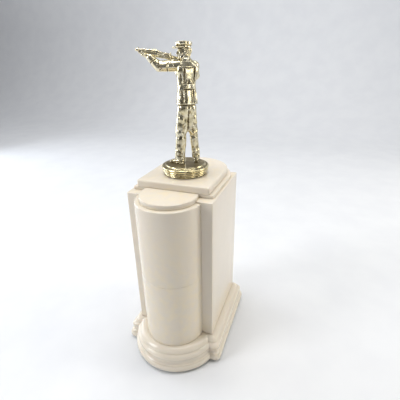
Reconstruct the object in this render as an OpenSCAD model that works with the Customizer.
// Marksman trophy: a moulded plastic column on a stepped plinth, with a cast
// figure of a rifle shooter on a round base. One tie rod, held by a nut under the
// plinth's top, pulls it all together, and the figure's bush turns on its end.
// Millimetres. X runs to the right, Y to the back and Z up. The origin is the
// middle of the footprint, on the surface that the trophy stands on.

/* [Body] */
// Width of the body block
body_w = 80.4; // [70:0.1:100]
// Depth of the body block's flat sides
body_d = 82.9; // [75:0.1:100]
// Height of the body's top above the table
body_top = 169.6; // [120:0.1:240]
// Distance of the back round's centre behind the front plane
bulge_set = 61; // [50:0.5:70]
// Wall thickness of the moulded shells
wall = 2.4; // [1.5:0.1:3]

/* [Front column] */
// Radius of the half-round column
column_r = 30; // [20:0.5:33]
// Distance of the column's centre behind the front plane
column_set = 3.2; // [0:0.1:6]
// Height of the seam between the two column segments
column_seam = 94.6; // [60:0.1:110]
// Height of the column's top
column_top = 168.2; // [120:0.1:168.2]
// Radius of the rounded edge at the column's top
column_edge = 1.2; // [0.4:0.1:2]

/* [Steps above the body] */
// Distance of the two steps' front faces behind the front plane
step_set = 8.8; // [5:0.1:14]
// How far the lower step stands back from the body's side
tier_inset = 2.2; // [1:0.1:4]
// Thickness of the lower step
tier_h = 3.1; // [2:0.1:6]
// Radius of the disc that covers the column
disc_r = 25.8; // [18:0.1:28]
// How far the cap stands back from the body's side
cap_inset = 5.7; // [4.5:0.1:9]
// Thickness of the cap
cap_h = 6.3; // [4:0.1:12]
// Radius of the cap's rounded top edge
cap_edge = 1.5; // [0.5:0.1:2]

/* [Plinth] */
// Height of the plinth's top above the table
plinth_top = 24.9; // [24:0.1:26]
// Radius of the plinth's front round where it meets the top
plinth_round_r = 34.6; // [32:0.1:38]
// Distance of that round's centre behind the front plane
plinth_round_set = 7.6; // [4:0.1:10]
// Radius of the plinth's corners
plinth_corner = 5; // [3:0.5:8]
// Thickness of the felt under the plinth
felt_t = 1.6; // [1:0.1:2]
// Thickness of the board that closes the plinth
board_t = 3.2; // [2.5:0.1:4]

/* [Fixings] */
// Radius of the tie rod
rod_r = 3.175; // [2.5:0.005:4]
// Running clearance of the rod in the cap
rod_fit = 0.075; // [0.02:0.005:0.1]
// Clearance of the rod everywhere else
rod_free = 0.45; // [0.35:0.05:1]
// Width of the nut across its flats
nut_af = 11.1; // [10:0.1:13]

/* [Figure] */
// How far the figure is turned on its rod from facing straight back
figure_turn = 40; // [-180:1:180]
// Greatest radius of the round base
base_r = 22; // [20:0.1:24]
// Height of the round base
base_h = 9.4; // [9:0.1:11]
// Height of the figure from its soles to the top of its cap
figure_h = 101.3; // [90:0.1:112]

/* [Hidden] */

$fn = 96;
limb_fn = 20;
cut = 1;
slide_gap = 0.15;

half_w = body_w / 2;

// Arc points for a moulding's profile, [distance out, height]
function arc(c, r, from, to, n = 8) =
    [for (i = [0:n]) let (a = from + (to - from) * i / n) [c[0] + r * cos(a), c[1] + r * sin(a)]];

// The plinth's moulding from the bottom up: bead, cove, ovolo, groove, quarter round
bead_r = 6;
bead_out = 10.8;
bead_mid = 5.2;
cove_r = 3;
cove_at = [10.9, 12.2];
ovolo_r = 3.7;
ovolo_at = [4.9, 16.4];
shoulder_r = 6.3;
groove_in = 5.4;
groove_up = 20.4;
moulding = concat(
    arc([bead_out - bead_r, bead_mid], bead_r, asin((felt_t - bead_mid) / bead_r), 33),
    arc(cove_at, cove_r, 250, 180),
    arc(ovolo_at, ovolo_r, -30, 72),
    [[groove_in, groove_up]],
    arc([0, plinth_top - shoulder_r], shoulder_r, 22, 90)
);
plinth_round_at = plinth_round_r + bead_out - plinth_round_set;
plinth_back_at = bulge_set + half_w + bead_out;

// Places along Y in the part's own frame
front_y = -(plinth_back_at - plinth_round_at) / 2;
back_y = front_y + body_d;
bulge_y = front_y + bulge_set;
column_y = front_y + column_set;
plinth_round_y = front_y + plinth_round_set;
rod_y = front_y + body_d / 2;
step_y = front_y + step_set;

// Places along Z
tier_top = body_top + tier_h;
cap_top = tier_top + cap_h;
base_z = cap_top + slide_gap;
figure_z = base_z + base_h;

// The hollow under the plinth
rim_out = 6.8;
board_out = rim_out - 0.3;
hollow_out = 5.3;
hollow_top = 16.9;
pocket_in = 2;
pocket_top = plinth_top - 2.7;
felt_out = 8.4;

// Screws that hold the board
screw_r = 1.5;
screw_head_r = 3.1;
screw_head_h = 1.8;
screw_l = 12;
screw_slot = 0.8;
boss_r = 4;
screw_free = 0.3;
screw_sink = 0.1;
screw_x = 36;
screw_in = 6;
screw_places = [for (x = [-screw_x, screw_x], y = [front_y + screw_in, back_y - screw_in]) [x, y]];

// The stack under the plinth's top
plate_l = 70;
plate_w = 22;
plate_t = 2.4;
washer_r = 9;
washer_t = 1.6;
lock_r = 6;
lock_t = 1.6;
lock_free = 0.2;
lock_gap = 1;
nut_t = 5.6;
washer_low = pocket_top - plate_t - washer_t;
nut_top = washer_low - lock_t;
rod_end = 2.5;
rod_bottom = nut_top - nut_t - rod_end;
bush_r = 5.5;
bush_h = 7.2;
bush_roof = 1;
bush_fit = 0.06;
rod_top = base_z + bush_h - bush_roof - slide_gap;
fit = 0.02;

// The figure's joints, in its own frame: X to its right, Y ahead of it and Z up
// from its soles, all scaled with its height
figure_k = figure_h / 101.3;
ankle_l = [-5.2, -1.2, 8];
ankle_r = [10.5, -1, 8];
knee_l = [-3, -1, 29.5];
knee_r = [8.4, -1.2, 29.5];
hip_l = [-0.8, -2, 49];
hip_r = [5.8, -2, 49];
toe_l = [-13.4, 6.6, 1.8];
toe_r = [15.8, 8.6, 1.6];
heel_l = [-2.8, -3.4, 1.9];
heel_r = [9.3, -3.6, 1.9];
hem = [2.7, -2, 54.8];
waist = [2.8, -2, 67];
chest = [3.6, -2, 79];
neck = [3.3, -1.2, 86];
skull = [2.5, 0.1, 93.4];
shoulder_l = [-3.4, -1, 83];
elbow_l = [-19.6, 1.6, 82];
wrist_l = [-27.1, 5.5, 89.2];
hand_l = [-30.2, 6.9, 92.3];
shoulder_rt = [10.6, -1.4, 83];
elbow_rt = [14, 5.6, 74.5];
wrist_rt = [-4.4, 8.9, 86];
hand_rt = [-8, 8.1, 88.2];
muzzle = [-35, 7.6, 95.2];
breech = [-18.5, 6.6, 94];
tang = [-9, 6, 90.9];
butt = [8.2, 4.8, 85.8];

// The peaked cap's parts: the band about the head, the crown and the visor
band = [2.5, 0.1, 97];
band_r = 5.4;
band_h = 1.6;
crown = [2.4, 0.1, 98.9];
crown_size = [7.9, 6.9, 2.4];
visor_root = [0, 0.1, 97.4];
visor_root_r = 4.8;
visor_tip = [-4.4, 0.1, 97];
visor_tip_r = 3.4;
visor_t = 0.8;

// Girths of the coat and the limbs
hem_size = [9.4, 6.8, 2];
waist_size = [8, 5.8, 2];
chest_size = [9.2, 6.4, 5];
skull_size = [5.6, 4.6, 6];
neck_r = 3.4;
ankle_rad = 4.1;
knee_rad = 4.9;
hip_rad = 5.4;
heel_rad = 2.4;
toe_rad = 2.2;
yoke_rad = 3.4;
shoulder_rad = 3.9;
elbow_rad = 3.1;
wrist_rad = 2.2;
hand_rad = 2;

// Girths of the rifle and the bends of its stock
barrel_rad = 1.1;
fore_end_tip = [3.5, -0.2, -1.4];
fore_end_rad = 1.3;
fore_end_root = [0, 0, -1.4];
receiver_rad = 1.9;
receiver_front = [-1, 0, -0.6];
grip_rad = 1.4;
grip_bend = [5, -0.4, -2];
butt_rad = 2.1;

// ---- Shared shapes ----

// A block whose sides follow a moulding, with mitred corners
module moulded_block(hx, y0, y1, profile) {
    intersection() {
        translate([0, y1 + 2 * bead_out, 0])
            rotate([90, 0, 0])
                linear_extrude(y1 - y0 + 4 * bead_out)
                    polygon(concat(
                        [for (p = profile) [hx + p[0], p[1]]],
                        [for (i = [len(profile) - 1:-1:0]) [-hx - profile[i][0], profile[i][1]]]
                    ));
        rotate([90, 0, 90])
            linear_extrude(2 * hx + 4 * bead_out, center = true)
                polygon(concat(
                    [for (p = profile) [y1 + p[0], p[1]]],
                    [for (i = [len(profile) - 1:-1:0]) [y0 - profile[i][0], profile[i][1]]]
                ));
    }
}

// A disc whose rim follows a moulding
module moulded_disc(r, y, profile) {
    translate([0, y, 0])
        rotate_extrude()
            polygon(concat(
                [[0, profile[0][1]]],
                [for (p = profile) [r + p[0], p[1]]],
                [[0, profile[len(profile) - 1][1]]]
            ));
}

// A rectangle with rounded corners
module rounded_rect(hx, y0, y1, r) {
    translate([-hx + r, y0]) square([2 * (hx - r), y1 - y0]);
    translate([-hx, y0 + r]) square([2 * hx, y1 - y0 - 2 * r]);
    for (x = [-hx + r, hx - r], y = [y0 + r, y1 - r])
        translate([x, y]) circle(r);
}

// The body's plan, grown by out
module body_plan(out) {
    translate([-half_w - out, front_y - out]) square([body_w + 2 * out, body_d + 2 * out]);
    translate([0, bulge_y]) circle(half_w + out);
}

// The plinth's plan, grown by out
module plinth_plan(out) {
    body_plan(out);
    translate([0, plinth_round_y]) circle(plinth_round_r + out);
}

// A flat slab of a plan between two heights
module slab(z0, z1) {
    translate([0, 0, z0]) linear_extrude(z1 - z0) children();
}

// The hole for the tie rod
module rod_hole(clear) {
    translate([0, rod_y, -cut]) cylinder(r = rod_r + clear, h = figure_z + 2 * cut);
}

// A tapered limb between two joints
module limb(a, b, ra, rb) {
    hull() {
        translate(a) sphere(ra, $fn = limb_fn);
        translate(b) sphere(rb, $fn = limb_fn);
    }
}

// An ellipsoid
module egg(at, radii) {
    translate(at) scale(radii) sphere(1, $fn = limb_fn + 8);
}

// Puts a child where the figure stands and turns it to its place
module on_base() {
    translate([0, rod_y, figure_z])
        rotate([0, 0, figure_turn])
            scale(figure_k)
                children();
}

// ---- Underside ----

module felt_pad() {
    color("darkgreen") slab(0, felt_t) plinth_plan(felt_out);
}

module bottom_board() {
    color("peru")
        difference() {
            slab(felt_t, felt_t + board_t) plinth_plan(board_out);
            for (p = screw_places)
                translate([p[0], p[1], felt_t]) {
                    translate([0, 0, -cut]) cylinder(r = screw_r + screw_free, h = board_t + 2 * cut);
                    translate([0, 0, -cut])
                        cylinder(r = screw_head_r + screw_free, h = cut + screw_head_h + screw_sink);
                }
        }
}

module board_screws() {
    color("silver")
        for (p = screw_places)
            translate([p[0], p[1], felt_t + screw_sink])
                difference() {
                    union() {
                        cylinder(r = screw_head_r, h = screw_head_h);
                        cylinder(r = screw_r, h = screw_l);
                    }
                    translate([-screw_head_r, -screw_slot / 2, -cut])
                        cube([2 * screw_head_r, screw_slot, cut + screw_slot]);
                }
}

module plinth() {
    color("ivory")
        difference() {
            union() {
                intersection() {
                    moulded_block(half_w, front_y, back_y, moulding);
                    slab(0, plinth_top + cut)
                        rounded_rect(half_w + bead_out, front_y - bead_out, back_y + bead_out, plinth_corner);
                }
                moulded_disc(plinth_round_r, plinth_round_y, moulding);
                moulded_disc(half_w, bulge_y, moulding);
            }
            difference() {
                union() {
                    slab(felt_t - cut, felt_t + board_t) plinth_plan(rim_out);
                    slab(felt_t, hollow_top) plinth_plan(hollow_out);
                    slab(felt_t, pocket_top) plinth_plan(-pocket_in);
                }
                for (p = screw_places)
                    translate([p[0], p[1], felt_t + board_t])
                        cylinder(r = boss_r, h = pocket_top - felt_t - board_t);
            }
            for (p = screw_places)
                translate([p[0], p[1], felt_t]) cylinder(r = screw_r + fit, h = screw_l + 1);
            rod_hole(rod_free);
        }
}

// ---- Fixings ----

module clamp_plate() {
    color("silver")
        difference() {
            slab(pocket_top - plate_t, pocket_top)
                translate([0, rod_y]) square([plate_l, plate_w], center = true);
            rod_hole(rod_free);
        }
}

module flat_washer() {
    color("silver")
        difference() {
            translate([0, rod_y, washer_low]) cylinder(r = washer_r, h = washer_t);
            rod_hole(rod_free);
        }
}

module lock_washer() {
    color("silver")
        difference() {
            translate([0, rod_y, nut_top]) cylinder(r = lock_r, h = lock_t);
            rod_hole(lock_free);
            translate([0, rod_y - lock_gap / 2, nut_top - cut])
                cube([lock_r + cut, lock_gap, lock_t + 2 * cut]);
        }
}

module rod_nut() {
    color("silver")
        difference() {
            translate([0, rod_y, nut_top - nut_t])
                cylinder(r = nut_af / 2 / cos(30), h = nut_t, $fn = 6);
            rod_hole(fit);
        }
}

module tie_rod() {
    color("silver")
        translate([0, rod_y, rod_bottom]) cylinder(r = rod_r, h = rod_top - rod_bottom);
}

// ---- Column ----

module body_shell() {
    color("ivory")
        difference() {
            slab(plinth_top, body_top) body_plan(0);
            slab(plinth_top - cut, body_top - wall) body_plan(-wall);
            rod_hole(rod_free);
        }
}

// One length of the half-round column, with or without a closed top
module column_segment(z0, z1, closed) {
    edge = closed ? column_edge : 0;
    inner_r = column_r - wall;
    roof = closed ? z1 - wall : z1 + cut;
    intersection() {
        translate([0, column_y, 0])
            rotate_extrude()
                difference() {
                    polygon(concat(
                        [[0, z0], [column_r, z0]],
                        arc([column_r - edge, z1 - edge], edge, 0, 90),
                        [[0, z1]]
                    ));
                    translate([-cut, z0 - cut]) square([inner_r + cut, roof - z0 + cut]);
                }
        slab(z0 - cut, z1 + cut)
            translate([-column_r - cut, front_y - column_r]) square([2 * (column_r + cut), column_r]);
    }
}

module front_column_lower() {
    color("ivory") column_segment(plinth_top, column_seam, false);
}

module front_column_upper() {
    color("ivory") column_segment(column_seam, column_top, true);
}

module step_tier() {
    tier_half = half_w - tier_inset;
    color("ivory")
        difference() {
            union() {
                slab(body_top, tier_top) {
                    translate([-tier_half, step_y]) square([2 * tier_half, bulge_y - step_y]);
                    translate([0, bulge_y]) circle(tier_half);
                    translate([0, column_y]) circle(disc_r);
                }
                slab(column_top, body_top)
                    intersection() {
                        translate([0, column_y]) circle(disc_r);
                        translate([-column_r, front_y - column_r]) square([2 * column_r, column_r]);
                    }
            }
            rod_hole(rod_free);
        }
}

module top_cap() {
    cap_half = half_w - cap_inset;
    edge = concat([[0, tier_top]], arc([-cap_edge, cap_top - cap_edge], cap_edge, 0, 90));
    color("ivory")
        difference() {
            union() {
                moulded_block(cap_half, step_y, bulge_y, edge);
                moulded_disc(cap_half, bulge_y, edge);
            }
            rod_hole(rod_fit);
        }
}

// ---- Figure ----

// The base's three lower rings from the bottom up, each a little wider than the last
ring_h = 1.8;
ring_in = 2.65;
ring_step = 0.65;
ring_end = 70;
rings = [for (i = [0:2]) each
    arc([base_r - ring_in + ring_step * i, (i + 0.5) * ring_h], ring_h / 2, -ring_end, ring_end, 6)];
top_ring_r = 1.5;
top_ring_z = 6.6;
base_cove_r = 1.3;
base_cove_in = 2.4;
base_wall = 4.2;
base_roof = 2;
bush_wall = 2.4;

module figure_base() {
    color("gold")
        translate([0, rod_y, base_z])
            difference() {
                rotate_extrude()
                    polygon(concat(
                        [[0, 0]],
                        rings,
                        arc([base_r - top_ring_r, top_ring_z], top_ring_r, -50, 80),
                        arc([base_r - base_cove_in, base_h], base_cove_r, 250, 180),
                        [[0, base_h]]
                    ));
                translate([0, 0, -cut])
                    difference() {
                        cylinder(r = base_r - base_wall, h = base_h - base_roof + cut);
                        cylinder(r = bush_r + bush_wall, h = base_h + cut);
                    }
                translate([0, 0, -cut]) cylinder(r = bush_r + fit, h = bush_h + cut);
            }
}

module threaded_bush() {
    color("darkkhaki")
        translate([0, rod_y, base_z])
            difference() {
                cylinder(r = bush_r, h = bush_h);
                translate([0, 0, -cut]) cylinder(r = rod_r + bush_fit, h = bush_h - bush_roof + cut);
            }
}

module figure_body() {
    color("gold")
        on_base()
            difference() {
                union() {
                    limb(ankle_l, knee_l, ankle_rad, knee_rad);
                    limb(ankle_r, knee_r, ankle_rad, knee_rad);
                    limb(knee_l, hip_l, knee_rad, hip_rad);
                    limb(knee_r, hip_r, knee_rad, hip_rad);
                    limb(heel_l, toe_l, heel_rad, toe_rad);
                    limb(heel_r, toe_r, heel_rad, toe_rad);
                    hull() {
                        egg(hem, hem_size);
                        egg(waist, waist_size);
                    }
                    hull() {
                        egg(waist, waist_size);
                        egg(chest, chest_size);
                    }
                    limb(shoulder_l, shoulder_rt, yoke_rad, yoke_rad);
                }
                translate([-figure_h, -figure_h, -2 * figure_h]) cube(2 * figure_h);
            }
}

module figure_head() {
    color("gold")
        on_base() {
            limb(neck, skull - [0, 0, neck_r], neck_r, neck_r);
            egg(skull, skull_size);
            translate(band) cylinder(r = band_r, h = band_h);
            egg(crown, crown_size);
            hull() {
                translate(visor_root) cylinder(r = visor_root_r, h = visor_t, $fn = limb_fn);
                translate(visor_tip) cylinder(r = visor_tip_r, h = visor_t, $fn = limb_fn);
            }
        }
}

module figure_left_arm() {
    color("gold")
        on_base() {
            limb(shoulder_l, elbow_l, shoulder_rad, elbow_rad);
            limb(elbow_l, wrist_l, elbow_rad, wrist_rad);
            limb(wrist_l, hand_l, wrist_rad, hand_rad);
        }
}

module figure_right_arm() {
    color("gold")
        on_base() {
            limb(shoulder_rt, elbow_rt, shoulder_rad, elbow_rad);
            limb(elbow_rt, wrist_rt, elbow_rad, wrist_rad);
            limb(wrist_rt, hand_rt, wrist_rad, hand_rad);
        }
}

module rifle() {
    color("gold")
        on_base() {
            limb(muzzle, breech, barrel_rad, barrel_rad);
            limb(muzzle + fore_end_tip, breech + fore_end_root, fore_end_rad, receiver_rad);
            limb(breech + receiver_front, tang, receiver_rad, receiver_rad);
            limb(tang, tang + grip_bend, grip_rad, grip_rad);
            limb(tang + grip_bend, butt, grip_rad, butt_rad);
        }
}

felt_pad();
bottom_board();
board_screws();
plinth();
clamp_plate();
flat_washer();
lock_washer();
rod_nut();
tie_rod();
body_shell();
front_column_lower();
front_column_upper();
step_tier();
top_cap();
figure_base();
threaded_bush();
figure_body();
figure_head();
figure_left_arm();
figure_right_arm();
rifle();
